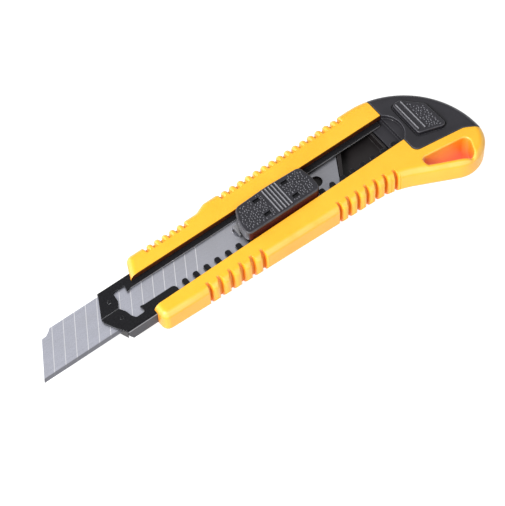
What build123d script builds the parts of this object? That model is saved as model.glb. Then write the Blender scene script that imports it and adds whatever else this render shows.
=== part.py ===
from build123d import *
import math
import os

# An 18 mm snap-off knife that loads its next blade from a magazine in the handle.
# All sizes are in millimetres. The working frame has its zero at the point of the
# blade: X runs back along the knife, Y runs from the cutting edge to the blade's back,
# and Z stands out of the face that carries the slider, with Z = 0 in the blade's middle.
# Every piece is moved by -BACK_CENTRE when it is written, so that the finished part
# has its zero on the handle's flat back.
BACK_CENTRE = (112.0, 8.4, -8.8)

# blade
BLADE_WIDTH = 18.0
BLADE_EDGE = 100.0
BLADE_THICK = 0.5
BEVEL = 1.45
SLANT = 60.0
FIRST_SCORE = 4.5
SCORE_PITCH = 5.0
SCORE_COUNT = 14
SCORE_WIDTH = 0.14
SCORE_DEPTH = 0.12
BLADE_HOLE = (94.5, 8.6)
BLADE_HOLE_R = 2.5
SPARE_SHIFT = 37.3
SPARE_TOPS = (-0.45, -1.0)

# sheet-steel channel
SHEET = 0.8
CHANNEL_LOW, CHANNEL_HIGH = -2.2, 19.0
CHANNEL_BACK, CHANNEL_FACE = -5.8, 1.2
CHANNEL_END = 167.0
FLANGE_LOW, FLANGE_HIGH = 4.1, 13.1
NOSE_X = 31.0
NOSE_Y = 8.5
TOOTH_PITCH = 5.0
FIRST_TOOTH = 65.3
TOOTH_COUNT = 20
TOOTH_WIDTH = 2.3
TOOTH_ROOT = -0.6
DIMPLES = ((37.5, 12.8), (37.5, 4.3))

# handle and end cap
BODY_FRONT, BODY_END = 49.0, 197.1
BODY_BACK, BODY_FACE = -8.8, 4.0
BODY_LOW_FRONT, BODY_LOW_BEND = -6.8, (155.8, -10.05)
BODY_HIGH, BODY_HIGH_FRONT = 26.2, 24.2
TAIL_R, TAIL_SLOPE = 12.4, 26.3
CAP_R = 36.5
FACE_EDGE_R, BACK_EDGE_R = 3.0, 3.4
LIP_HIGH = 15.4
LIP_LOW_FRONT, LIP_LOW_END = -0.45, 0.85
SEAM_X = 169.0
GRIP_TOP, GRIP_MOAT = 5.6, 0.7
SEAM_GAP = 0.3
FIT = 0.05
PLAY = 0.15
RIVET_XS = (58.0, 90.0)
RIVET_Y = 8.4
RIVET_R = 2.0

# round ribs along the belly and the spine: first groove, pitch, number of grooves
BELLY_GROOVES = ((70.4, 4.9, 6), (130.6, 4.32, 7))
SPINE_GROOVES = ((61.2, 3.52, 6), (97.6, 3.8, 16))
BELLY_DEPTH, BELLY_BEND = 2.2, 25.0
SPINE_DEPTH, SPINE_BEND = 1.25, 80.0
RIB_GAP = 0.6

# slider
BUTTON_FRONT, BUTTON_END = 94.1, 128.6
BUTTON_LOW, BUTTON_HIGH = 1.4, 15.15
BUTTON_FOOT, BUTTON_TOP = 1.95, 7.0
BUTTON_WALL, BUTTON_ROOF = 1.4, 1.8
RIDGE_XS = [109.8 + 1.5 * i for i in range(5)]
WINDOWS = [(x, y) for x in (105.8, 119.2) for y in (4.65, 12.05)]
PLATE_LOW = 1.3
RUNNER_TOP = 0.3
WEB_FRONT = 112.2

# magazine
TRAY_FRONT, TRAY_END = 96.0, 163.2
TRAY_TOP, TRAY_RAIL_TOP = -0.4, -2.7
TRAY_WALL, STOP_WALL = 0.9, 1.7
FLOOR_TOP = -4.2
FOLLOWER = (98.0, 137.0, -2.35, -1.55)
LEAF = 0.3
SPRING_RIVET_X = 102.0

# roots that the detent spring and the blade catch bend about
DETENT_ROOT = (111.8, 4.7)
CATCH_ROOT = (111.8, 0.7)


def outline(corners):
    """Closed face through (x, y, corner radius) points."""
    points = [(x, y) for x, y, _ in corners]
    radii = [r for _, _, r in corners]
    return make_face(FilletPolyline(*points, radius=radii, close=True))


def block(x0, x1, y0, y1, z0, z1):
    """Box between two corners."""
    middle = ((x0 + x1) / 2, (y0 + y1) / 2, (z0 + z1) / 2)
    return Pos(*middle) * Box(x1 - x0, y1 - y0, z1 - z0)


def plate(face, z0, z1):
    """A flat face made into a plate from z0 to z1."""
    return extrude(Pos(0, 0, z0) * face, z1 - z0)


def rod(x, y, z0, z1, radius):
    """Upright round rod."""
    return Pos(x, y, (z0 + z1) / 2) * Cylinder(radius, z1 - z0)


def lean(y):
    """How far back a line at the blade's slant has gone at height y."""
    return y / math.tan(math.radians(SLANT))


# ---------------------------------------------------------------- blades
def blade():
    """Snap-off blade: slanted ends, clipped front corner, bevel, score lines and hole."""
    clip_y = BLADE_WIDTH - 2.3
    corners = [
        (0, 0),
        (BLADE_EDGE, 0),
        (BLADE_EDGE + lean(BLADE_WIDTH), BLADE_WIDTH),
        (13.9, BLADE_WIDTH),
        (12.7, BLADE_WIDTH - 1.1),
        (11.1, BLADE_WIDTH - 2.1),
        (lean(clip_y), clip_y),
    ]
    half = BLADE_THICK / 2
    body = plate(make_face(Polyline(*corners, close=True)), -half, half)
    for side in (1, -1):
        edge, face = side * 0.02, side * half
        wedge = make_face(Polyline((0, edge), (BEVEL, face), (-1, face), (-1, edge), close=True))
        body -= extrude(Pos(-1, 0, 0) * (Plane.YZ * wedge), BLADE_EDGE + 20)
    body -= rod(*BLADE_HOLE, -1, 1, BLADE_HOLE_R)
    for i in range(SCORE_COUNT):
        x = FIRST_SCORE + SCORE_PITCH * i
        line = Polyline(
            (x, 0),
            (x + SCORE_WIDTH, 0),
            (x + SCORE_WIDTH + lean(BLADE_WIDTH), BLADE_WIDTH),
            (x + lean(BLADE_WIDTH), BLADE_WIDTH),
            close=True,
        )
        body -= plate(make_face(line), half - SCORE_DEPTH, half)
    return body


def spare_blade(top):
    """Spare blade lying in the magazine with its upper face at the given height."""
    return Pos(SPARE_SHIFT, 0, top - BLADE_THICK / 2) * blade()


# ---------------------------------------------------------------- channel
def channel_tube():
    """Rectangular sheet-steel tube with rounded bends, before its face is opened."""
    wide, deep = CHANNEL_HIGH - CHANNEL_LOW, CHANNEL_FACE - CHANNEL_BACK
    section = RectangleRounded(wide, deep, 1.1) - RectangleRounded(
        wide - 2 * SHEET, deep - 2 * SHEET, 0.3
    )
    middle = ((CHANNEL_LOW + CHANNEL_HIGH) / 2, (CHANNEL_BACK + CHANNEL_FACE) / 2)
    return extrude(Pos(NOSE_X - 1, *middle) * (Plane.YZ * section), CHANNEL_END - NOSE_X + 1)


def face_opening():
    """Opening in the channel's face: behind the two nose lobes, then the long slot."""
    end = CHANNEL_END + 5
    return outline(
        [
            (38.8, NOSE_Y + 0.15, 0.4),
            (40.4, 11.2, 0.8),
            (40.8, 15.4, 0.4),
            (46.0, 15.4, 0.3),
            (45.5, 12.3, 0.2),
            (47.5, FLANGE_HIGH, 0.5),
            (end, FLANGE_HIGH, 0),
            (end, FLANGE_LOW, 0),
            (47.5, FLANGE_LOW, 0.5),
            (45.6, 4.5, 0.2),
            (46.2, 1.5, 0.8),
            (42.0, 1.4, 0.8),
            (40.9, 3.2, 0.8),
            (40.3, 5.9, 0.8),
            (38.8, NOSE_Y - 0.15, 0.4),
        ]
    )


def nose_outline(inset=0.0):
    """Front of the channel, seen on the slider side, cut back by the inset."""
    return make_face(
        Polyline(
            (60, 30),
            (60, -10),
            (36.4 + inset, -10),
            (36.2 + inset, -2.2),
            (33.3 + inset, 2.3),
            (NOSE_X + 0.1 + inset, 6.6),
            (NOSE_X + inset, NOSE_Y),
            (35.9 + inset, 18.2),
            (36.4 + inset, 30),
            close=True,
        )
    )


def tooth_gaps():
    """Gaps between the lock teeth, each with a rounded root and rounded tips beside it."""
    first = FIRST_TOOTH - TOOTH_PITCH / 2
    gap = TOOTH_PITCH - TOOTH_WIDTH
    tip = 0.95
    gaps = []
    for i in range(TOOTH_COUNT + 1):
        centre = first + TOOTH_PITCH * i
        left, right = centre - gap / 2, centre + gap / 2
        before = 1.9 if i == 0 else tip
        face = outline(
            [
                (left, TOOTH_ROOT, 0.5),
                (right, TOOTH_ROOT, 0.5),
                (right, FLANGE_LOW, tip),
                (right + tip + 0.1, FLANGE_LOW, 0),
                (right + tip + 0.1, FLANGE_LOW + 1, 0),
                (left - before - 0.1, FLANGE_LOW + 1, 0),
                (left - before - 0.1, FLANGE_LOW, 0),
                (left, FLANGE_LOW, before),
            ]
        )
        gaps.append(plate(face, 0, 2))
    return gaps


def blade_channel():
    """Channel with nose lobes, flanges, lock teeth, guide dimples and rivet holes."""
    channel = channel_tube() - plate(face_opening(), 0, 2)
    channel -= tooth_gaps()
    channel -= block(NOSE_X - 2, 39.2, NOSE_Y - 0.13, NOSE_Y + 0.13, 0, 2)
    channel &= plate(nose_outline(), -10, 10) + block(50, CHANNEL_END + 1, -10, 30, -10, 10)
    raked = Polyline((28, 0.2), (35.2, 0.2), (38.2, -5.9), (28, -7), close=True)
    channel -= extrude(Pos(0, 30, 0) * (Plane.XZ * make_face(raked)), 40)
    for x, y in DIMPLES:
        channel += Pos(x, y, CHANNEL_FACE) * (Sphere(0.8) & Pos(0, 0, 0.5) * Cylinder(0.8, 1.0)) & (
            block(x - 2, x + 2, y - 2, y + 2, 1.0, 1.55)
        )
    for x in RIVET_XS:
        channel -= rod(x, RIVET_Y, -10, -4, RIVET_R + FIT)
    return channel


def nose_insert():
    """Block below the blade in the nose that guides it and stops the spare blades."""
    top, bottom = -0.35, CHANNEL_BACK + SHEET + FIT
    low, high = CHANNEL_LOW + SHEET + PLAY, CHANNEL_HIGH - SHEET - PLAY
    back = Polyline(
        (20, low),
        (SPARE_SHIFT - 0.4 + lean(low), low),
        (SPARE_SHIFT - 0.4 + lean(high), high),
        (20, high),
        close=True,
    )
    body = plate(make_face(back), bottom, top) & plate(nose_outline(0.35), bottom, top)
    raked = Polyline((20, top), (31.4, top), (36.6, bottom), (20, bottom), close=True)
    return body - extrude(Pos(0, 30, 0) * (Plane.XZ * make_face(raked)), 40)


def channel_rivets():
    """Two rivets that hold the channel's floor to the handle's back plate."""
    floor_top = CHANNEL_BACK + SHEET
    rivets = []
    for x in RIVET_XS:
        shank = rod(x, RIVET_Y, BODY_BACK + 0.3, floor_top, RIVET_R)
        head = rod(x, RIVET_Y, BODY_BACK + 0.3, BODY_BACK + 1.3, RIVET_R + 1.2)
        upset = Pos(x, RIVET_Y, floor_top + 0.4) * Cylinder(RIVET_R + 0.9, 0.8)
        rivets.append(shank + head + fillet(upset.edges().group_by(Axis.Z)[-1], 0.5))
    return Compound(children=rivets)


# ---------------------------------------------------------------- handle and cap
def shoulder(pitch, depth):
    """Radius of a rib whose side is RIB_GAP from the groove's middle at the groove's depth."""
    half = pitch / 2 - RIB_GAP
    return min((half * half + depth * depth) / (2 * depth), half)


def groove_section(pitch, depth, left_r, right_r):
    """Groove between two round ribs, across the knife (first) and outward (second)."""
    out = 1.6

    def side(radius, sign):
        """Points on the rib's round shoulder, from its crown down to the groove's floor."""
        centre = RIB_GAP + math.sqrt(max(radius**2 - (radius - min(depth, radius)) ** 2, 0.0))
        turn = math.acos(max(1 - depth / radius, 0.0))
        return [
            (
                sign * (centre - radius * math.sin(turn * t)),
                -radius * (1 - math.cos(turn * t)),
            )
            for t in (0, 0.5, 1)
        ]

    left, right = side(left_r, -1), side(right_r, 1)
    left_floor, right_floor = (left[2][0], -depth), (right[2][0], -depth)
    lines = ThreePointArc(*left)
    if left[2][1] > -depth + 0.01:
        lines += Line(left[2], left_floor)
    lines += Line(left_floor, right_floor)
    if right[2][1] > -depth + 0.01:
        lines += Line(right_floor, right[2])
    lines += ThreePointArc(*reversed(right))
    lines += Polyline(right[0], (right[0][0], out), (left[0][0], out), left[0])
    return make_face(lines)


def groove_cutter(x, side, edge_y, section, bend):
    """Groove up the side of the body that leans in over its face edge and runs out."""
    radius = FACE_EDGE_R
    bend_y, bend_z = edge_y - side * radius, BODY_FACE - radius
    foot = (x, edge_y, BODY_BACK - 3)
    half, full = math.radians(bend / 2), math.radians(bend)
    knee = (x, edge_y, bend_z)
    top = (x, bend_y + side * radius * math.cos(full), bend_z + radius * math.sin(full))
    arc = ThreePointArc(
        knee, (x, bend_y + side * radius * math.cos(half), bend_z + radius * math.sin(half)), top
    )
    run = 5.0 * math.cos(full) + 0.4
    exit_point = (x, top[1] - side * run * math.sin(full), top[2] + run * math.cos(full))
    path = Line(foot, knee) + arc + Line(top, exit_point)
    face = Plane(origin=foot, x_dir=(1, 0, 0), z_dir=(0, 0, side)) * section
    return sweep(face, path=path)


def ribs(groups, depth, bend, side, edge):
    """Cutters for every groove; the first and last have a tight outer shoulder."""
    cutters = []
    for first, pitch, count in groups:
        radius, tight = shoulder(pitch, depth), 0.9
        for i in range(count):
            left_r = tight if i == 0 else radius
            right_r = tight if i == count - 1 else radius
            section = groove_section(pitch, depth, left_r, right_r)
            x = first + pitch * i
            cutters.append(groove_cutter(x, side, edge(x), section, bend))
    return cutters


def belly_y(x):
    """Height of the body's lower side at x, ahead of the tail."""
    bend_x, bend_y = BODY_LOW_BEND
    slope = (bend_y - BODY_LOW_FRONT) / (bend_x - BODY_FRONT)
    straight = BODY_LOW_FRONT + slope * (x - BODY_FRONT)
    return straight - 0.014 * max(0.0, x - 148.0) ** 2


def spine_y(x):
    """Height of the body's upper side at x, ahead of the cap."""
    return BODY_HIGH_FRONT if x < 88 else BODY_HIGH


def body_blank():
    """Outer shape of the handle and its end cap together, with rounded edges."""
    tail_corner = (
        BODY_END,
        BODY_LOW_BEND[1] - math.tan(math.radians(TAIL_SLOPE)) * (BODY_END - BODY_LOW_BEND[0]),
    )
    face = outline(
        [
            (BODY_FRONT, BODY_LOW_FRONT, 3.1),
            (*BODY_LOW_BEND, 37.0),
            (*tail_corner, TAIL_R),
            (BODY_END, BODY_HIGH, CAP_R),
            (90.0, BODY_HIGH, 5.0),
            (85.6, BODY_HIGH_FRONT, 5.0),
            (BODY_FRONT + 3.9, BODY_HIGH_FRONT, 3.1),
            (BODY_FRONT, LIP_HIGH - 0.4, 4.0),
        ]
    )
    blank = plate(face, BODY_BACK, BODY_FACE)
    blank = fillet(blank.edges().group_by(Axis.Z)[-1], FACE_EDGE_R)
    return fillet(blank.edges().group_by(Axis.Z)[0], BACK_EDGE_R)


def cap_region(grow=0.0):
    """Area that the end cap takes, seen on the slider side."""
    return outline(
        [
            (SEAM_X - grow, 60, 0),
            (SEAM_X - grow, -6.2 - grow, 2.8),
            (190.8, -9.15 - grow, 6.0),
            (206, -18.5 - grow, 0),
            (206, 60, 0),
        ]
    )


def hang_hole():
    """Teardrop opening on the slider side of the tail."""
    return outline(
        [
            (168.6, -10.2, 1.6),
            (190.2, -12.9, 2.6),
            (186.2, -22.0, 2.6),
            (168.9, -13.7, 1.6),
        ]
    )


def hang_hole_back():
    """The same opening on the tail's back, narrower because the hole tapers."""
    return outline(
        [
            (168.9, -10.6, 1.4),
            (188.9, -14.3, 2.4),
            (185.8, -22.0, 2.4),
            (169.1, -13.7, 1.4),
        ]
    )


def hang_hole_core():
    """Tapered core that leaves the hang hole."""
    core = loft([Pos(0, 0, BODY_BACK - 0.01) * hang_hole_back(), Pos(0, 0, BODY_FACE) * hang_hole()])
    return core + plate(hang_hole(), BODY_FACE - 0.01, BODY_FACE + 2)


def rim(body, face):
    """The body's edges on its slider side that run round an opening."""
    box = face.bounding_box()
    edges = []
    for edge in body.edges().group_by(Axis.Z)[-1]:
        middle = edge.center()
        if box.min.X - 0.1 < middle.X < box.max.X + 0.1 and box.min.Y - 0.1 < middle.Y < box.max.Y + 0.1:
            edges.append(edge)
    return edges


def handle_body(blank):
    """Handle moulding: two rails, back plate and drooping tail."""
    body = blank - plate(cap_region(SEAM_GAP / 2), -20, 20)
    body -= block(
        BODY_FRONT - 10,
        SEAM_X + 5,
        CHANNEL_LOW - FIT,
        CHANNEL_HIGH + FIT,
        CHANNEL_BACK - FIT,
        CHANNEL_FACE + FIT,
    )
    slot = Polyline(
        (BODY_FRONT - 5, LIP_LOW_FRONT),
        (SEAM_X + 5, LIP_LOW_END),
        (SEAM_X + 5, LIP_HIGH),
        (BODY_FRONT - 5, LIP_HIGH),
        close=True,
    )
    body -= plate(make_face(slot), 0, 10)
    body -= hang_hole_core()
    body = fillet(rim(body, hang_hole()), 0.9)
    for x in RIVET_XS:
        body -= rod(x, RIVET_Y, -20, 0, RIVET_R + FIT)
        body -= rod(x, RIVET_Y, -20, BODY_BACK + 1.3, RIVET_R + 1.2 + FIT)
    cutters = ribs(BELLY_GROOVES, BELLY_DEPTH, BELLY_BEND, -1, belly_y)
    cutters += ribs(SPINE_GROOVES, SPINE_DEPTH, SPINE_BEND, 1, spine_y)
    return body - cutters


def grip_outline(grow):
    """Raised grip's five-sided outline, grown by a margin."""
    return outline(
        [
            (174.9 - grow, 15.7 + grow, 1.2 + grow),
            (178.7 + 0.5 * grow, 15.7 + grow, 1.5 + grow),
            (185.8 + grow, 8.2 + 0.5 * grow, 1.5 + grow),
            (186.4 + grow, -4.9 - 1.3 * grow, 1.6 + grow),
            (174.6 - grow, -1.1 - 0.8 * grow, 1.2 + grow),
        ]
    )


def end_cap(blank):
    """Rear cap: raised grip with two ridges, crescent step and the tongue into the channel."""
    cap = blank & plate(cap_region(-SEAM_GAP / 2), -20, 20)
    cap -= rod(164.1, 8.0, 2.2, 10, 8.7)
    seam = [e for e in cap.edges().group_by(Axis.Z)[-1] if e.center().Y < BODY_HIGH - 5]
    cap = fillet(seam, 0.4)
    cap -= plate(grip_outline(GRIP_MOAT), BODY_FACE - 0.55, BODY_FACE + 5)
    pad = plate(grip_outline(0.0), BODY_FACE - 1, GRIP_TOP)
    cap += fillet(pad.edges().group_by(Axis.Z)[-1], 0.55)
    for x, low, high in ((175.8, 0.0, 14.7), (178.3, -0.9, 14.6)):
        bar = block(x - 0.35, x + 0.35, low, high, GRIP_TOP - 0.4, GRIP_TOP + 0.55)
        cap += fillet(bar.edges().group_by(Axis.Z)[-1], 0.25)
    tongue = block(
        TRAY_END + 0.6,
        SEAM_X + 3,
        CHANNEL_LOW + SHEET + 0.25,
        CHANNEL_HIGH - SHEET - 0.25,
        CHANNEL_BACK + SHEET + 0.25,
        0.1,
    )
    return cap + fillet(tongue.edges().filter_by(Axis.Z).group_by(Axis.X)[0], 1.0)


# ---------------------------------------------------------------- slider
def button_outline(inset):
    """Slider button's outline: bowed ends and an upper side crowned a little."""
    low, high = BUTTON_LOW + inset, BUTTON_HIGH - inset
    front, end = BUTTON_FRONT + inset, BUTTON_END - inset
    return outline(
        [
            (front, low, 2.3 - inset),
            (end, low, 2.3 - inset),
            (end + 0.6, 7.5, 20.0),
            (end - 0.7, high - 0.65, 2.6 - inset),
            (112.0, high, 60.0),
            (front + 3.1 - 0.2 * inset, high - 0.6, 3.0 - inset),
            (front - 0.1, 7.0, 14.0 - inset),
        ]
    )


def slider_button():
    """Hollow thumb button with five cross ridges and four hook windows."""
    shell = plate(button_outline(0.0), BUTTON_FOOT, BUTTON_TOP)
    shell = fillet(shell.edges().group_by(Axis.Z)[-1], 0.9)
    shell -= plate(button_outline(BUTTON_WALL), BUTTON_FOOT - 1, BUTTON_TOP - BUTTON_ROOF)
    for x in RIDGE_XS:
        low, high = BUTTON_LOW + 1.0, BUTTON_HIGH - 1.0
        bar = block(x - 0.3, x + 0.3, low, high, BUTTON_TOP - 0.3, BUTTON_TOP + 0.35)
        shell += fillet(bar.edges().filter_by(Axis.Y).group_by(Axis.Z)[-1], 0.22)
    for x, y in WINDOWS:
        shell -= block(x - 1.6, x + 1.6, y - 0.8, y + 0.8, BUTTON_TOP - 1.3, BUTTON_TOP + 1)
        shell -= block(x - 1.5, x + 1.5, y - 0.6, y + 0.6, 0, BUTTON_TOP)
    return shell


def slider_carriage():
    """Steel plate under the button with four hooks that snap into its windows."""
    carriage = plate(button_outline(0.35), PLATE_LOW, BUTTON_FOOT)
    carriage -= block(80, 98.5, -5, 25, 0, 3)
    carriage -= block(90, 107.0, 5.9, 11.5, 0, 3)
    step = BUTTON_TOP - 1.3
    for x, y in WINDOWS:
        carriage += block(x - 1.4, x + 1.4, y - 0.45, y + 0.45, BUTTON_FOOT - 0.2, step + 0.7)
        outer = 1 if y > NOSE_Y else -1
        carriage += Pos(0, outer * 0.25, 0) * block(
            x - 1.4, x + 1.4, y - 0.45, y + 0.45, step + 0.05, step + 0.6
        )
    for x in (115.0, 122.5):
        carriage -= rod(x, NOSE_Y, 0, 4, 1.2 + FIT)
    return carriage


def runner_plate():
    """Runner under the channel's flanges, with the web that stands in the slot."""
    runner = block(WEB_FRONT, 125.8, -0.6, 17.4, -0.25, RUNNER_TOP)
    runner = fillet(runner.edges().filter_by(Axis.Z), 1.0)
    runner += block(WEB_FRONT, 125.0, 5.2, 12.2, -0.25, PLATE_LOW)
    for x in (115.0, 122.5):
        runner -= rod(x, NOSE_Y, -2, 4, 1.2 + FIT)
    return runner


def carriage_rivets():
    """Two rivets that join the carriage to the runner."""
    rivets = []
    for x in (115.0, 122.5):
        shank = rod(x, NOSE_Y, -0.25, BUTTON_FOOT, 1.2)
        head = Pos(x, NOSE_Y, BUTTON_FOOT + 0.4) * Cylinder(2.1, 0.8)
        rivets.append(shank + fillet(head.edges().group_by(Axis.Z)[-1], 0.5))
    return Compound(children=rivets)


def detent_spring():
    """Leaf beside the web, bent about a round root, with a tooth in the lock teeth."""
    root_x, root_y = DETENT_ROOT
    tooth_x = FIRST_TOOTH + TOOTH_PITCH * 6.5
    low, high = RUNNER_TOP + 0.18, CHANNEL_FACE
    leaf = block(tooth_x - 1.2, root_x + 2.7, root_y - 0.2, root_y + 0.2, low, high)
    tooth = outline(
        [
            (tooth_x - 1.2, root_y, 0),
            (tooth_x + 1.2, root_y, 0),
            (tooth_x + 0.5, root_y - 1.3, 0.3),
            (tooth_x - 0.5, root_y - 1.3, 0.3),
        ]
    )
    return leaf + plate(tooth, low, high) + rod(root_x, root_y, low, high, 0.3)


def blade_catch():
    """Spring-steel tongue in front of the web whose bent nose holds the blade's hole."""
    root_x, root_z = CATCH_ROOT
    low, high = 6.0, 11.2
    half = 0.25
    strap = block(93.5, root_x, low, high, root_z - half, root_z + half)
    root = Pos(root_x, (low + high) / 2, root_z) * Rot(90, 0, 0) * Cylinder(half, high - low)
    nose = block(93.5, 95.4, 7.1, 10.1, -BLADE_THICK / 2 + 0.05, root_z)
    curl = block(93.2, 93.8, low, high, root_z - half, root_z + 1.0)
    return strap + root + nose + curl


# ---------------------------------------------------------------- magazine
def magazine_tray():
    """Tray behind the spare blades: floor, side walls, slanted stop and rear pocket."""
    low, high = CHANNEL_LOW + SHEET + PLAY, CHANNEL_HIGH - SHEET - PLAY
    bottom = CHANNEL_BACK + SHEET + FIT
    start = SPARE_SHIFT + BLADE_EDGE + 0.5
    behind_blades = Polyline(
        (start + lean(low), low),
        (TRAY_END, low),
        (TRAY_END, high),
        (start + lean(high), high),
        close=True,
    )
    pocket = Polyline(
        (start + STOP_WALL + lean(low), low + TRAY_WALL),
        (TRAY_END - TRAY_WALL, low + TRAY_WALL),
        (TRAY_END - TRAY_WALL, high - TRAY_WALL),
        (start + STOP_WALL + lean(high), high - TRAY_WALL),
        close=True,
    )
    front_end = start + lean(high)
    tray = block(TRAY_FRONT, front_end, low, high, bottom, TRAY_RAIL_TOP)
    tray -= block(TRAY_FRONT - 5, front_end + 5, low + TRAY_WALL, high - TRAY_WALL, FLOOR_TOP, 5)
    tray += plate(make_face(behind_blades), bottom, TRAY_TOP)
    tray -= plate(make_face(pocket), FLOOR_TOP, 5)
    tray -= rod(SPRING_RIVET_X, NOSE_Y, -8, 0, 1.25 + FIT)
    return tray


def follower_plate():
    """Plate that carries the spare blades."""
    x0, x1, z0, z1 = FOLLOWER
    face = outline([(x0, 0.2, 1.5), (x1 - 1.5, 0.2, 1.5), (x1 + 6, 16.8, 1.5), (x0, 16.8, 1.5)])
    return plate(face, z0, z1)


def magazine_spring():
    """Bowed leaf spring between the tray's floor and the follower plate."""
    top = FOLLOWER[2] - 0.03
    low = FLOOR_TOP + LEAF
    foot = Polyline((98.5, FLOOR_TOP), (98.5, low), (107.0, low))
    bow = ThreePointArc((107.0, low), (120.0, top), (133.0, low))
    end = Polyline((133.0, low), (135.5, low), (135.5, FLOOR_TOP), (133.0, FLOOR_TOP))
    under = ThreePointArc((133.0, FLOOR_TOP), (120.0, top - LEAF), (107.0, FLOOR_TOP))
    tail = Line((107.0, FLOOR_TOP), (98.5, FLOOR_TOP))
    section = make_face(foot + bow + end + under + tail)
    leaf = extrude(Pos(0, NOSE_Y + 4, 0) * (Plane.XZ * section), 8)
    return leaf - rod(SPRING_RIVET_X, NOSE_Y, -8, 0, 1.25 + FIT)


def spring_rivet():
    """Rivet that holds the leaf spring to the tray's floor."""
    bottom = CHANNEL_BACK + SHEET + FIT
    seat = FLOOR_TOP + LEAF
    shank = rod(SPRING_RIVET_X, NOSE_Y, bottom, seat, 1.25)
    head = Pos(SPRING_RIVET_X, NOSE_Y, seat + 0.2) * Cylinder(2.2, 0.4)
    return shank + head


def main():
    os.makedirs("parts", exist_ok=True)
    blank = body_blank()
    pieces = {
        "handle_body": handle_body(blank),
        "blade_channel": blade_channel(),
        "nose_insert": nose_insert(),
        "channel_rivets": channel_rivets(),
        "working_blade": blade(),
        "spare_blade_upper": spare_blade(SPARE_TOPS[0]),
        "spare_blade_lower": spare_blade(SPARE_TOPS[1]),
        "slider_button": slider_button(),
        "slider_carriage": slider_carriage(),
        "runner_plate": runner_plate(),
        "carriage_rivets": carriage_rivets(),
        "detent_spring": detent_spring(),
        "blade_catch": blade_catch(),
        "magazine_tray": magazine_tray(),
        "follower_plate": follower_plate(),
        "magazine_spring": magazine_spring(),
        "spring_rivet": spring_rivet(),
        "end_cap": end_cap(blank),
    }
    to_back = Pos(*[-c for c in BACK_CENTRE])
    for name, shape in pieces.items():
        export_step(to_back * shape, f"parts/{name}.step")


main()
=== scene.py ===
import math
import random

import bmesh
import bpy
from mathutils import Matrix, Vector


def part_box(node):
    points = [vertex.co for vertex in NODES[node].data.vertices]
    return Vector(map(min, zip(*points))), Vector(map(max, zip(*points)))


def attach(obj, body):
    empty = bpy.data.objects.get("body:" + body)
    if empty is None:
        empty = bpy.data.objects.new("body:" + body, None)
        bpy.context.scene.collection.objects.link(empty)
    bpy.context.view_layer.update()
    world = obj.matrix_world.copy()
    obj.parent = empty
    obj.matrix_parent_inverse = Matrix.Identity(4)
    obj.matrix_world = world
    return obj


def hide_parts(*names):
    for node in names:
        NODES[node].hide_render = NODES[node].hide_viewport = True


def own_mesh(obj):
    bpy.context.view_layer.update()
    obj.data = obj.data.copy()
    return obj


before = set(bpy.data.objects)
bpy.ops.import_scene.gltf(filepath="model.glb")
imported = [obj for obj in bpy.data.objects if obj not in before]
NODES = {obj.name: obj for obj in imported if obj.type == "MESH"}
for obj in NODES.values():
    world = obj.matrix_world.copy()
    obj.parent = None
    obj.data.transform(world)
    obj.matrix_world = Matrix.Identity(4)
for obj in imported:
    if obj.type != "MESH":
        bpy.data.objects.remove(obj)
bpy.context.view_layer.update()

MM = 0.001

# the blade's box in the shared frame, in metres; at() gives places from the blade's point
BLADE_LOW, BLADE_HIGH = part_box("working_blade")
BLADE_MIDDLE = (BLADE_LOW.z + BLADE_HIGH.z) / 2


def at(x, y, z=0.0):
    """A point given in millimetres from the blade's point and middle plane."""
    return Vector((BLADE_LOW.x + x * MM, BLADE_LOW.y + y * MM, BLADE_MIDDLE + z * MM))


# ---------------------------------------------------------------- camera and studio
def make_camera():
    """Camera above the cutting-edge side and ahead of the knife's middle, with a slight roll."""
    azimuth, elevation, roll = math.radians(-32.75), math.radians(58.9), math.radians(-4.53)
    distance, aim = 0.6774, Vector((-0.0191, -0.0107, BLADE_MIDDLE))
    back = Vector(
        (
            math.sin(azimuth) * math.cos(elevation),
            -math.cos(azimuth) * math.cos(elevation),
            math.sin(elevation),
        )
    )
    level = Vector((math.cos(azimuth), math.sin(azimuth), 0))
    upright = back.cross(level)
    right = level * math.cos(roll) + upright * math.sin(roll)
    up = back.cross(right)
    turn = Matrix((right, up, back)).transposed()
    data = bpy.data.cameras.new("camera")
    data.lens, data.sensor_width = 127.2, 36
    data.clip_start, data.clip_end = 0.01, 50
    camera = bpy.data.objects.new("camera", data)
    camera.matrix_world = Matrix.Translation(aim + back * distance) @ turn.to_4x4()
    bpy.context.collection.objects.link(camera)
    bpy.context.scene.camera = camera


def area_light(name, place, size, power):
    """Soft square white light that points at the middle of the frame."""
    data = bpy.data.lights.new(name, "AREA")
    data.shape, data.size, data.energy = "SQUARE", size, power
    light = bpy.data.objects.new(name, data)
    light.location = place
    light.rotation_mode = "QUATERNION"
    light.rotation_quaternion = Vector(place).to_track_quat("Z", "Y")
    bpy.context.collection.objects.link(light)


def make_floor():
    """Pale floor that glows a little, so that it stays white under the knife."""
    half, drop = 6.0, 0.2 * MM
    mesh = bpy.data.meshes.new("floor")
    corners = [(-half, -half, 0), (half, -half, 0), (half, half, 0), (-half, half, 0)]
    mesh.from_pydata(corners, [], [(0, 1, 2, 3)])
    floor = bpy.data.objects.new("floor", mesh)
    floor.location.z = -drop
    bpy.context.collection.objects.link(floor)
    material = bpy.data.materials.new("floor_paper")
    material.use_nodes = True
    shader = material.node_tree.nodes["Principled BSDF"]
    shader.inputs["Base Color"].default_value = (0.30, 0.30, 0.30, 1)
    shader.inputs["Emission Color"].default_value = (1, 1, 1, 1)
    shader.inputs["Emission Strength"].default_value = 0.93
    shader.inputs["Roughness"].default_value = 0.9
    shader.inputs["Specular IOR Level"].default_value = 0.1
    mesh.materials.append(material)


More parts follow.
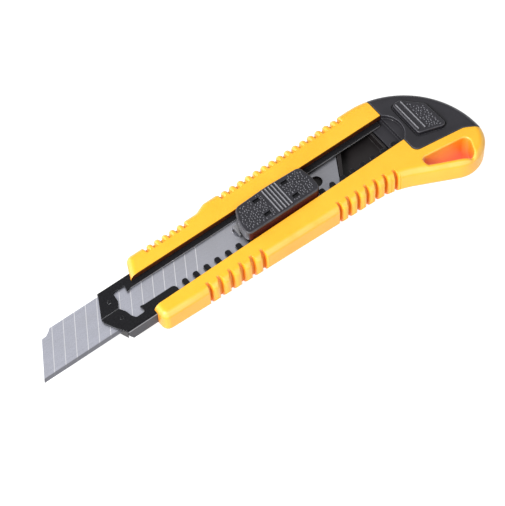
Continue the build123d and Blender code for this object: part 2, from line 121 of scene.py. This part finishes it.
def make_studio():
    """Even white surroundings, two soft lights and the floor."""
    world = bpy.data.worlds.new("studio")
    world.use_nodes = True
    background = world.node_tree.nodes["Background"]
    background.inputs["Color"].default_value = (1, 1, 1, 1)
    background.inputs["Strength"].default_value = 0.46
    bpy.context.scene.world = world
    area_light("key", (-0.74, -0.14, 0.72), 0.4, 14.0)
    area_light("top", (0.25, 0.42, 0.9), 0.8, 1.0)
    make_floor()
    bpy.context.scene.view_settings.view_transform = "Standard"


# ---------------------------------------------------------------- material building
class Material:
    """A node material with helpers for object-space textures."""

    def __init__(self, name, metallic=0.0, specular=0.5):
        self.material = bpy.data.materials.new(name)
        self.material.use_nodes = True
        self.tree = self.material.node_tree
        self.shader = self.tree.nodes["Principled BSDF"]
        self.shader.inputs["Metallic"].default_value = metallic
        self.shader.inputs["Specular IOR Level"].default_value = specular
        self.place = self.node("ShaderNodeTexCoord").outputs["Object"]

    def node(self, kind, **settings):
        """Adds a node and sets its properties."""
        made = self.tree.nodes.new(kind)
        for key, value in settings.items():
            setattr(made, key, value)
        return made

    def link(self, source, target):
        """Joins an output socket to an input socket."""
        self.tree.links.new(source, target)

    def put(self, target, value):
        """Links a socket or sets a plain value."""
        if isinstance(value, bpy.types.NodeSocket):
            self.link(value, target)
        else:
            target.default_value = value

    def stretched(self, scale):
        """Object coordinates scaled along each axis, so that a texture runs in streaks."""
        mapping = self.node("ShaderNodeMapping")
        mapping.inputs["Scale"].default_value = scale
        self.link(self.place, mapping.inputs["Vector"])
        return mapping.outputs["Vector"]

    def noise(self, per_mm, detail, roughness=0.55, vector=None):
        """Noise from 0 to 1, given by its lumps per millimetre."""
        texture = self.node("ShaderNodeTexNoise")
        texture.inputs["Scale"].default_value = per_mm / MM
        texture.inputs["Detail"].default_value = detail
        texture.inputs["Roughness"].default_value = roughness
        self.link(vector or self.place, texture.inputs["Vector"])
        return texture.outputs["Fac"]

    def math(self, operation, a, b=0.0, clamp=False):
        """One arithmetic step on one or two values."""
        made = self.node("ShaderNodeMath", operation=operation, use_clamp=clamp)
        self.put(made.inputs[0], a)
        self.put(made.inputs[1], b)
        return made.outputs[0]

    def all_of(self, first, *others):
        """The product of several shares: 1 only where all of them are 1."""
        for other in others:
            first = self.math("MULTIPLY", first, other)
        return first

    def span(self, value, low, high, to_low=0.0, to_high=1.0):
        """Maps a value's range onto another, clamped."""
        made = self.node("ShaderNodeMapRange")
        self.put(made.inputs["Value"], value)
        for key, number in (("From Min", low), ("From Max", high), ("To Min", to_low), ("To Max", to_high)):
            made.inputs[key].default_value = number
        return made.outputs["Result"]

    def mix(self, share, a, b):
        """Mixes two colours by a share."""
        made = self.node("ShaderNodeMix", data_type="RGBA")
        self.put(made.inputs["Factor"], share)
        self.put(made.inputs[6], a if isinstance(a, bpy.types.NodeSocket) else (*a, 1))
        self.put(made.inputs[7], b if isinstance(b, bpy.types.NodeSocket) else (*b, 1))
        return made.outputs[2]

    def position(self):
        """The point's x, y and z in the shared frame at rest, in metres."""
        split = self.node("ShaderNodeSeparateXYZ")
        self.link(self.place, split.inputs[0])
        return split.outputs

    def facing(self):
        """The surface normal's parts in the object's own directions."""
        geometry = self.node("ShaderNodeNewGeometry")
        turn = self.node("ShaderNodeVectorTransform", vector_type="NORMAL")
        turn.convert_from, turn.convert_to = "WORLD", "OBJECT"
        self.link(geometry.outputs["Normal"], turn.inputs[0])
        split = self.node("ShaderNodeSeparateXYZ")
        self.link(turn.outputs[0], split.inputs[0])
        return split.outputs

    def edges(self, radius_mm, low=0.02, high=0.25):
        """Share that is 1 on outer and inner edges: the rounded normal against the true one."""
        bevel = self.node("ShaderNodeBevel", samples=6)
        bevel.inputs["Radius"].default_value = radius_mm * MM
        geometry = self.node("ShaderNodeNewGeometry")
        dot = self.node("ShaderNodeVectorMath", operation="DOT_PRODUCT")
        self.link(bevel.outputs[0], dot.inputs[0])
        self.link(geometry.outputs["Normal"], dot.inputs[1])
        return self.span(self.math("SUBTRACT", 1.0, dot.outputs["Value"]), low, high)

    def shelter(self, distance_mm, open_share, deep_share):
        """Share that rises from 0 in the open to 1 in deep gaps."""
        hidden = self.node("ShaderNodeAmbientOcclusion", samples=8)
        hidden.inputs["Distance"].default_value = distance_mm * MM
        return self.span(hidden.outputs["AO"], deep_share, open_share, 1.0, 0.0)

    def surface(self, height, depth_mm, round_mm):
        """Gives the shader a bump, on top of softly rounded edges where round_mm isn't 0."""
        bump = self.node("ShaderNodeBump")
        bump.inputs["Strength"].default_value = 1.0
        bump.inputs["Distance"].default_value = depth_mm * MM
        self.link(height, bump.inputs["Height"])
        if round_mm:
            bevel = self.node("ShaderNodeBevel", samples=6)
            bevel.inputs["Radius"].default_value = round_mm * MM
            self.link(bevel.outputs[0], bump.inputs["Normal"])
        self.link(bump.outputs[0], self.shader.inputs["Normal"])

    def colour(self, value):
        """Sets the base colour from a socket."""
        self.put(self.shader.inputs["Base Color"], value)

    def rough(self, value):
        """Sets the roughness from a socket."""
        self.put(self.shader.inputs["Roughness"], value)


# ---------------------------------------------------------------- materials
# colours as linear red, green and blue
ORANGE_LOW, ORANGE_HIGH = (0.92, 0.440, 0.018), (0.95, 0.480, 0.026)
# the second colour here is a painted highlight for rounded edges
ORANGE_SCUFF, ORANGE_PAINTED_HIGHLIGHT = (0.98, 0.62, 0.2), (1.0, 0.74, 0.34)
# these colours are painted light and shade: shade in grooves, a red-orange glow in the hang hole, shade on
# the rail's front end
GROOVE_PAINTED_SHADE, HOLE_PAINTED_GLOW, RAIL_END_PAINTED_SHADE = (0.98, 0.17, 0.012), (1.0, 0.11, 0.012), (0.95, 0.26, 0.03)
# the slot colour is painted shade; the rail colour is a painted orange reflection
SLOT_SHADE, RAIL_PAINTED_REFLECTION = (0.07, 0.010, 0.005), (0.22, 0.036, 0.014)
# both greys are painted highlights, on rounded rims and on front walls
RIM_PAINTED_HIGHLIGHT, FRONT_WALL_PAINTED_HIGHLIGHT = (0.21, 0.21, 0.235), (0.25, 0.25, 0.27)
# the crown grey is partly wear, partly painted highlight; the glint grey is a painted glint
CROWN_WORN_AND_HIGHLIT, GLINT_GREY = (0.36, 0.36, 0.39), (0.40, 0.40, 0.44)
# the side colour is a painted sheen on the channel's lower side wall
COAT_LOW, COAT_HIGH, COAT_SIDE_PAINTED_SHEEN = (0.005, 0.005, 0.006), (0.015, 0.015, 0.0175), (0.085, 0.083, 0.095)
BARE_LOW, BARE_HIGH = (0.36, 0.36, 0.38), (0.60, 0.60, 0.62)
BLADE_LOW_TONE, BLADE_HIGH_TONE = (0.49, 0.50, 0.57), (0.56, 0.57, 0.65)
BLADE_BRIGHT, BLADE_PIT = (0.70, 0.71, 0.77), (0.36, 0.365, 0.42)
# the rear colour is painted shade toward the blade's rear
BLADE_STAIN, BLADE_REAR_PAINTED_SHADE = (0.46, 0.465, 0.5), (0.40, 0.40, 0.42)
# the bevel colour is painted shade
SCORE_TONE, BEVEL_PAINTED_SHADE = (0.94, 0.94, 0.96), (0.20, 0.20, 0.22)

# score lines in millimetres, and the slant they share with the blade's end
SCORE_PITCH, FIRST_SCORE, SCORE_WIDTH, SCORE_COUNT = 5.0, 4.57, 0.16, 14
SCORE_SLANT = math.radians(60)


def scaled(colour, share):
    """A colour made darker or lighter."""
    return tuple(part * share for part in colour)


def hole_walls(m):
    """Share on the hang hole's walls, which face its middle, where a painted red-orange glow goes; it grows
    rearward and deeper in.
    """
    x, y, z = m.position()
    nx, ny, nz = m.facing()
    middle, front, rear = at(182, -16), at(168, 0).x, at(187, 0).x
    from_x = m.math("SUBTRACT", x, middle.x)
    from_y = m.math("SUBTRACT", y, middle.y)
    outward = m.math("ADD", m.math("MULTIPLY", from_x, nx), m.math("MULTIPLY", from_y, ny))
    return m.all_of(
        m.math("LESS_THAN", outward, -0.3 * MM),
        m.math("LESS_THAN", y, at(0, -9.6).y),
        m.span(m.math("ABSOLUTE", nz), 0.4, 0.75, 1.0, 0.0),
        m.span(x, front, rear, 0.1, 1.0),
        m.span(z, at(0, 0, -6).z, at(0, 0, 4).z, 1.0, 0.25),
        m.math("GREATER_THAN", x, front),
    )


def slot_wall(m):
    """Share on the upper rail's wall along the slider slot."""
    x, y, z = m.position()
    _, ny, _ = m.facing()
    return m.all_of(
        m.span(ny, -0.85, -0.5, 1.0, 0.0),
        m.math("GREATER_THAN", y, at(0, 8).y),
        m.math("LESS_THAN", x, at(170, 0).x),
        m.span(z, at(0, 0, 3.2).z, at(0, 0, 4.0).z, 1.0, 0.55),
    )


def orange_plastic():
    """Warm yellow-orange ABS: fine mould texture, faint flow clouds, scuffed edges; a painted highlight on
    rounded edges, painted shade in hollows, on the rail's front end and on the slot wall, and a painted
    red-orange glow in the hang hole.
    """
    m = Material("orange_abs", specular=0.4)
    x, _, _ = m.position()
    nx, _, nz = m.facing()
    clouds = m.noise(0.05, 3)
    grain = m.noise(3.2, 3, 0.6)
    scuffs = m.noise(0.35, 6, 0.7, m.stretched((1, 5, 5)))
    base = m.mix(m.span(clouds, 0.35, 0.65), ORANGE_LOW, ORANGE_HIGH)
    paler_edges = m.math("MULTIPLY", m.edges(0.5), m.span(scuffs, 0.48, 0.66), clamp=True)
    base = m.mix(m.math("MULTIPLY", paler_edges, 0.35), base, ORANGE_SCUFF)
    # painted highlight: a paler band along the rounded edges between faces and sides
    rounded = m.all_of(m.span(nz, 0.25, 0.5), m.span(nz, 0.82, 0.97, 1.0, 0.0))
    painted_edge_highlight = m.all_of(rounded, m.span(m.noise(0.12, 4), 0.3, 0.6, 0.4, 1.0))
    base = m.mix(m.math("MULTIPLY", painted_edge_highlight, 0.32), base, ORANGE_PAINTED_HIGHLIGHT)
    # painted shade: darker, redder orange where the surface is hidden, in grooves and gaps
    base = m.mix(m.math("MULTIPLY", m.shelter(6.0, 0.85, 0.2), 0.55), base, GROOVE_PAINTED_SHADE)
    # painted light: the red-orange glow of light bouncing inside the hang hole
    base = m.mix(hole_walls(m), base, HOLE_PAINTED_GLOW)
    # painted shade: redder, darker front walls of the lower rail
    rail_end_shade = m.all_of(m.span(nx, -0.95, -0.6, 1.0, 0.0), m.math("LESS_THAN", x, at(54, 0).x))
    base = m.mix(m.math("MULTIPLY", rail_end_shade, 0.5), base, RAIL_END_PAINTED_SHADE)
    m.colour(m.mix(m.math("MULTIPLY", slot_wall(m), 0.97), base, SLOT_SHADE))
    m.rough(m.span(m.math("ADD", m.math("MULTIPLY", grain, 0.4), scuffs), 0.5, 1.0, 0.28, 0.44))
    relief = m.math("ADD", m.math("MULTIPLY", grain, 0.5), m.math("MULTIPLY", scuffs, 0.5))
    m.surface(relief, 0.012, 0.35)
    m.shader.inputs["Subsurface Weight"].default_value = 0.12
    m.shader.inputs["Subsurface Radius"].default_value = (1.0, 0.4, 0.1)
    m.shader.inputs["Subsurface Scale"].default_value = 1.8 * MM
    return m.material


def lit_walls(m, base, rail_reflection):
    """Painted orange reflection of the lower rail on the wall beside it, and a painted highlight on the
    front wall.
    """
    _, y, z = m.position()
    nx, ny, nz = m.facing()
    beside_rail = m.all_of(
        m.span(nz, 0.1, 0.4, 1.0, 0.0),
        m.span(ny, -0.9, -0.6, 1.0, 0.0),
        m.math("LESS_THAN", y, at(0, 2.6).y),
        m.span(z, at(0, 0, 3).z, at(0, 0, 6).z, 1.0, 0.35),
    )
    # painted reflection of the orange rail on the wall beside it
    base = m.mix(m.math("MULTIPLY", beside_rail, rail_reflection), base, RAIL_PAINTED_REFLECTION)
    front_wall = m.all_of(m.span(nx, -0.9, -0.5, 1.0, 0.0), m.span(nz, 0.2, 0.6, 1.0, 0.0))
    # painted highlight on front walls
    return m.mix(m.math("MULTIPLY", front_wall, 0.5), base, FRONT_WALL_PAINTED_HIGHLIGHT)


def black_plastic(name, tone, roughness, round_mm=0.3, crown_mm=None, rail_reflection=0.0, glint=0.0):
    """Black moulding: fine grain, paler edges that are partly wear and partly painted highlight, a painted
    highlight on rounded rims, crowns above a height made paler by rubbing and painted highlight, and an
    optional painted orange reflection and painted glint.
    """
    m = Material(name, specular=0.3)
    _, _, z = m.position()
    nx, ny, nz = m.facing()
    grain = m.noise(4.0, 3, 0.65)
    base = m.mix(m.span(m.noise(0.12, 4), 0.35, 0.7), scaled(tone, 0.85), scaled(tone, 1.2))
    scuffs = m.span(m.noise(0.8, 5, 0.7), 0.36, 0.58)
    # paler edges: partly wear, partly painted highlight
    paler_edges = m.math("MULTIPLY", m.edges(0.35, 0.03, 0.3), scuffs, clamp=True)
    base = m.mix(m.math("MULTIPLY", paler_edges, 0.55), base, tuple(0.17 + part for part in tone))
    # painted highlight: a paler band on rounded rims
    rounded = m.all_of(m.span(nz, 0.25, 0.45), m.span(nz, 0.88, 0.97, 1.0, 0.0))
    rim = m.all_of(rounded, m.span(m.noise(0.5, 4), 0.3, 0.6, 0.35, 1.0))
    base = m.mix(m.math("MULTIPLY", rim, 0.3), base, RIM_PAINTED_HIGHLIGHT)
    if rail_reflection:
        base = lit_walls(m, base, rail_reflection)
    if crown_mm is not None:
        # paler crowns: partly rubbing, partly painted highlight
        crown = m.span(z, at(0, 0, crown_mm).z, at(0, 0, crown_mm + 0.12).z)
        crown = m.all_of(crown, m.span(m.noise(1.2, 4), 0.3, 0.5, 0.55, 1.0))
        base = m.mix(m.math("MULTIPLY", crown, 0.8), base, CROWN_WORN_AND_HIGHLIT)
    if glint:
        shiny_side = m.math("SUBTRACT", m.math("MULTIPLY", ny, 0.8), m.math("MULTIPLY", nx, 0.6))
        base = m.mix(m.span(shiny_side, 0.22, 0.5, 0.0, glint), base, GLINT_GREY)
    m.colour(base)
    glossy_walls = m.span(nz, 0.2, 0.5, 0.16, roughness)
    m.rough(m.math("ADD", glossy_walls, m.span(grain, 0.3, 0.7, -0.06, 0.08)))
    m.surface(grain, 0.012, round_mm)
    return m.material


def cut_edges_and_highlights(m):
    """Share on the channel's cut edges, which are bare steel made brighter by painted highlight, and
    painted highlights on the bend along its lower side and on the dimples' sides.
    """
    _, y, z = m.position()
    nx, ny, nz = m.facing()
    window = m.all_of(
        m.math("GREATER_THAN", y, at(0, 3.9).y),
        m.math("LESS_THAN", y, at(0, 14.0).y),
        m.span(m.math("ABSOLUTE", ny), 0.8, 0.95),
    )
    bend_highlight = m.all_of(
        m.span(ny, -0.96, -0.9),
        m.span(ny, -0.82, -0.7, 1.0, 0.0),
        m.math("LESS_THAN", y, at(0, -1.0).y),
        m.span(z, at(0, 0, -1.0).z, at(0, 0, 0.2).z),
    )
    dimple_glint = m.all_of(
        m.span(nz, 0.9, 0.985, 1.0, 0.0),
        m.math("GREATER_THAN", nx, 0.05),
        m.math("GREATER_THAN", ny, 0.02),
        m.span(z, at(0, 0, 1.25).z, at(0, 0, 1.3).z),
    )
    return m.math("MAXIMUM", window, m.math("MAXIMUM", m.math("MULTIPLY", bend_highlight, 0.8), dimple_glint))


def black_steel():
    """Black-coated sheet steel: satin coat, bare sheared edges brightened by painted highlight, rubbed
    corners, a painted sheen on the lower side wall and painted highlights on the bend and the dimples.
    """
    m = Material("black_coated_steel", specular=0.12)
    _, y, _ = m.position()
    _, ny, _ = m.facing()
    mottle = m.noise(1.6, 5, 0.65)
    drag = m.noise(0.8, 5, 0.7, m.stretched((0.12, 3.0, 3.0)))
    side_wall = m.all_of(m.span(ny, -0.9, -0.6, 1.0, 0.0), m.math("LESS_THAN", y, at(0, -1.5).y))
    coat = m.mix(m.span(mottle, 0.35, 0.7), COAT_LOW, COAT_HIGH)
    # painted sheen: the lower side wall made lighter
    coat = m.mix(m.math("MULTIPLY", side_wall, 0.8), coat, COAT_SIDE_PAINTED_SHEEN)
    steel = m.mix(m.span(drag, 0.3, 0.7), BARE_LOW, BARE_HIGH)
    rubbed = m.math("MULTIPLY", m.edges(0.25, 0.04, 0.3), m.span(mottle, 0.42, 0.56), clamp=True)
    # bare cut edges with painted highlight, plus painted highlights on the bend and dimples
    cut_and_highlit = m.math("MULTIPLY", cut_edges_and_highlights(m), 0.75)
    bare_and_highlit = m.math("MAXIMUM", m.math("MULTIPLY", rubbed, 0.5), cut_and_highlit)
    m.colour(m.mix(bare_and_highlit, coat, steel))
    m.put(m.shader.inputs["Metallic"], m.math("MULTIPLY", bare_and_highlit, 0.5))
    m.rough(m.span(m.math("ADD", mottle, drag), 0.7, 1.3, 0.26, 0.42))
    m.surface(m.math("ADD", mottle, m.math("MULTIPLY", drag, 0.5)), 0.006, 0.12)
    return m.material


def score_lines(m, shift_mm):
    """Share on the slanted score lines, counted from a blade's point."""
    x, y, _ = m.position()
    pitch, first, width = SCORE_PITCH * MM, FIRST_SCORE * MM, SCORE_WIDTH * MM
    from_point = m.math("SUBTRACT", x, at(shift_mm, 0).x)
    slanted = m.math("MULTIPLY", m.math("SUBTRACT", y, at(0, 0).y), 1 / math.tan(SCORE_SLANT))
    step = m.math("SUBTRACT", m.math("SUBTRACT", from_point, slanted), first - pitch / 2)
    gap = m.math("SUBTRACT", m.math("FLOORED_MODULO", step, pitch), pitch / 2)
    line = m.span(m.math("ABSOLUTE", gap), width * 0.6, width * 1.5, 1.0, 0.0)
    return m.all_of(line, m.math("LESS_THAN", step, pitch * SCORE_COUNT))


def blade_steel(name, shift_mm=0.0, tone=1.0):
    """Ground blade steel: marks along the blade, bright score lines, painted shade on the bevel and toward
    the rear; tone darkens every colour, as painted shade on the spare blades.
    """
    m = Material(name, metallic=1.0)
    x, y, _ = m.position()
    grind = m.noise(1.5, 4, 0.7, m.stretched((0.03, 1.0, 1.0)))
    fine = m.noise(6.0, 3, 0.6, m.stretched((0.08, 1.0, 1.0)))
    speck = m.noise(2.2, 3, 0.7)
    stain = m.noise(0.09, 5, 0.6)
    # painted shade: the blade grows darker toward its rear
    rearward_shade = m.span(x, at(35 + shift_mm, 0).x, at(95 + shift_mm, 0).x, 0.0, 0.55)
    face = m.mix(m.span(grind, 0.3, 0.7), scaled(BLADE_LOW_TONE, tone), scaled(BLADE_HIGH_TONE, tone))
    face = m.mix(m.span(speck, 0.5, 0.66, 0.0, 0.4), face, scaled(BLADE_BRIGHT, tone))
    face = m.mix(m.span(speck, 0.34, 0.46, 0.3, 0.0), face, scaled(BLADE_PIT, tone))
    face = m.mix(m.span(stain, 0.5, 0.72, 0.0, 0.3), face, scaled(BLADE_STAIN, tone))
    face = m.mix(rearward_shade, face, scaled(BLADE_REAR_PAINTED_SHADE, tone))
    face = m.mix(m.math("MULTIPLY", score_lines(m, shift_mm), 0.8), face, SCORE_TONE)
    # painted shade on the bevel strip
    bevel = m.span(y, at(0, 1.3).y, at(0, 1.5).y, 1.0, 0.0)
    m.colour(m.mix(m.math("MULTIPLY", bevel, 0.85), face, BEVEL_PAINTED_SHADE))
    m.rough(m.span(m.math("ADD", grind, fine), 0.7, 1.3, 0.36, 0.54))
    m.surface(m.math("ADD", grind, m.math("MULTIPLY", fine, 0.6)), 0.004, 0.0)
    return m.material


def plain_steel(name, tone, roughness):
    """Stamped or rolled steel: fine scratches, darker handling marks, rounded edges."""
    m = Material(name, metallic=0.9)
    scratches = m.noise(1.2, 5, 0.7, m.stretched((0.1, 1.5, 1.0)))
    marks = m.span(m.noise(0.4, 4, 0.6), 0.5, 0.75, 0.0, 0.4)
    base = m.mix(m.span(scratches, 0.3, 0.7), scaled(tone, 0.8), tone)
    m.colour(m.mix(marks, base, scaled(tone, 0.5)))
    m.rough(m.span(scratches, 0.3, 0.7, roughness - 0.08, roughness + 0.08))
    m.surface(scratches, 0.006, 0.08)
    return m.material


# ---------------------------------------------------------------- pebbled grips
PEBBLE_SIDES, PEBBLE_FLATNESS, PEBBLE_SINK = 10, 0.74, 0.06
PEBBLE_PITCH, PEBBLE_TRIES = 1.05, 22


def pebble(mesh, centre, radius, height, turn):
    """A low oval lump: foot ring below the surface, two shoulder rings and a crown."""
    rings, sides = [], PEBBLE_SIDES
    for share, rise in ((1.0, -PEBBLE_SINK * MM), (0.82, height * 0.55), (0.48, height * 0.92)):
        ring = []
        for i in range(sides):
            angle = 2 * math.pi * i / sides
            along, across = math.cos(angle) * radius, math.sin(angle) * radius * PEBBLE_FLATNESS
            local = Vector((along * share, across * share, 0))
            local.rotate(Matrix.Rotation(turn, 3, "Z"))
            ring.append(mesh.verts.new(centre + local + Vector((0, 0, rise))))
        rings.append(ring)
    crown = mesh.verts.new(centre + Vector((0, 0, height)))
    for low, high in zip(rings, rings[1:]):
        for i in range(sides):
            j = (i + 1) % sides
            mesh.faces.new((low[i], low[j], high[j], high[i]))
    for i in range(sides):
        mesh.faces.new((rings[-1][i], rings[-1][(i + 1) % sides], crown))
    mesh.faces.new(tuple(reversed(rings[0])))


def pebble_field(name, low, high, allowed, surface_z, seed):
    """Irregular pebbles spread over a region, as one mesh object."""
    area = (high[0] - low[0]) * (high[1] - low[1])
    rng = random.Random(seed)
    mesh = bmesh.new()
    placed = []
    for _ in range(int(area / (PEBBLE_PITCH * PEBBLE_PITCH) * PEBBLE_TRIES)):
        x, y = rng.uniform(low[0], high[0]), rng.uniform(low[1], high[1])
        radius = PEBBLE_PITCH * rng.uniform(0.40, 0.62)
        if not allowed(x, y, radius):
            continue
        if any((x - a) ** 2 + (y - b) ** 2 < (0.88 * (radius + r)) ** 2 for a, b, r in placed):
            continue
        placed.append((x, y, radius))
        height = rng.uniform(0.16, 0.26) * MM
        pebble(mesh, at(x, y, surface_z), radius * MM, height, rng.uniform(0, math.pi))
    data = bpy.data.meshes.new(name)
    mesh.to_mesh(data)
    mesh.free()
    data.shade_smooth()
    piece = bpy.data.objects.new(name, data)
    bpy.context.collection.objects.link(piece)
    return piece


def in_polygon(points, x, y, margin):
    """True if (x, y) is inside a convex polygon by at least a margin."""
    for (ax, ay), (bx, by) in zip(points, points[1:] + points[:1]):
        length = math.hypot(bx - ax, by - ay)
        if ((bx - ax) * (y - ay) - (by - ay) * (x - ax)) / length < margin:
            return False
    return True


def button_pebbles(material):
    """Pebbles on both ends of the thumb button, clear of its ridges and windows."""
    windows = [(x, y) for x in (105.8, 119.2) for y in (4.65, 12.05)]
    window_half_length, window_half_width = 1.7, 0.9
    ridges_front, ridges_end, face_z = 109.0, 116.6, 7.0
    rim = [
        (96.4, 2.4), (126.4, 2.4), (127.6, 3.6), (128.1, 7.5), (127.3, 12.0), (126.3, 13.6),
        (112.0, 14.1), (99.0, 13.6), (97.2, 12.0), (95.3, 7.0), (95.2, 3.6),
    ]

    def allowed(x, y, radius):
        if ridges_front - radius < x < ridges_end + radius:
            return False
        for window_x, window_y in windows:
            near_x = abs(x - window_x) < window_half_length + radius
            if near_x and abs(y - window_y) < window_half_width + radius:
                return False
        return in_polygon(rim, x, y, radius)

    piece = pebble_field("button_pebbles", (95.0, 2.0), (128.5, 14.8), allowed, face_z, seed=3)
    piece.data.materials.append(material)
    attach(piece, "slider")


def cap_pebbles(material):
    """Pebbles on the cap's raised grip, right of its two ridges."""
    region = [(179.4, -2.0), (185.3, -4.0), (184.8, 7.7), (179.4, 13.6)]
    grip_z = 5.6

    def allowed(x, y, radius):
        return in_polygon(region, x, y, radius * 0.8)

    piece = pebble_field("cap_grip_pebbles", (179.0, -5.0), (186.0, 15.0), allowed, grip_z, seed=8)
    piece.data.materials.append(material)
    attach(piece, "end_cap")


def pressed_spring(material):
    """The bowed magazine spring (on the knife it flattens by the stack's travel), copied from its CAD node
    in spring steel; the CAD node is hidden.
    """
    piece = bpy.data.objects.new("bowed_magazine_spring", NODES["magazine_spring"].data.copy())
    bpy.context.collection.objects.link(piece)
    piece.data.materials.clear()
    piece.data.materials.append(material)
    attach(piece, "handle")
    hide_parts("magazine_spring")
    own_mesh(piece)


# ---------------------------------------------------------------- finishing the CAD nodes
def paint(material, *names):
    """Gives CAD nodes a material in every slot."""
    for name in names:
        data = NODES[name].data
        if not data.materials:
            data.materials.append(material)
        for i in range(len(data.materials)):
            data.materials[i] = material


make_camera()
make_studio()
button_black = black_plastic("button_abs", (0.022, 0.0215, 0.027), 0.40, crown_mm=7.24, rail_reflection=0.75)
cap_black = black_plastic("cap_abs", (0.023, 0.022, 0.027), 0.42, round_mm=0.4, crown_mm=6.05)
pebble_black = black_plastic("pebbled_abs", (0.024, 0.0235, 0.029), 0.24, round_mm=0.0, glint=0.55)
nylon = black_plastic("inner_nylon", (0.014, 0.0115, 0.012), 0.5, round_mm=0.2)
paint(orange_plastic(), "handle_body")
paint(black_steel(), "blade_channel")
paint(blade_steel("working_blade_steel"), "working_blade")
spare_shift_mm = (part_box("spare_blade_upper")[0][0] - BLADE_LOW.x) / MM
# tone 0.72 darkens the spare blades' steel as painted shade
shaded_spare_steel = blade_steel("spare_blade_steel", spare_shift_mm, tone=0.72)
paint(shaded_spare_steel, "spare_blade_upper", "spare_blade_lower")
paint(button_black, "slider_button")
paint(cap_black, "end_cap")
paint(nylon, "magazine_tray", "nose_insert", "follower_plate")
paint(plain_steel("carriage_steel", (0.022, 0.022, 0.025), 0.4), "slider_carriage", "runner_plate")
spring_steel = plain_steel("spring_steel", (0.42, 0.42, 0.44), 0.34)
paint(spring_steel, "blade_catch", "detent_spring")
rivet_steel = plain_steel("rivet_steel", (0.50, 0.50, 0.52), 0.38)
paint(rivet_steel, "channel_rivets", "carriage_rivets", "spring_rivet")
button_pebbles(pebble_black)
cap_pebbles(pebble_black)
pressed_spring(spring_steel)
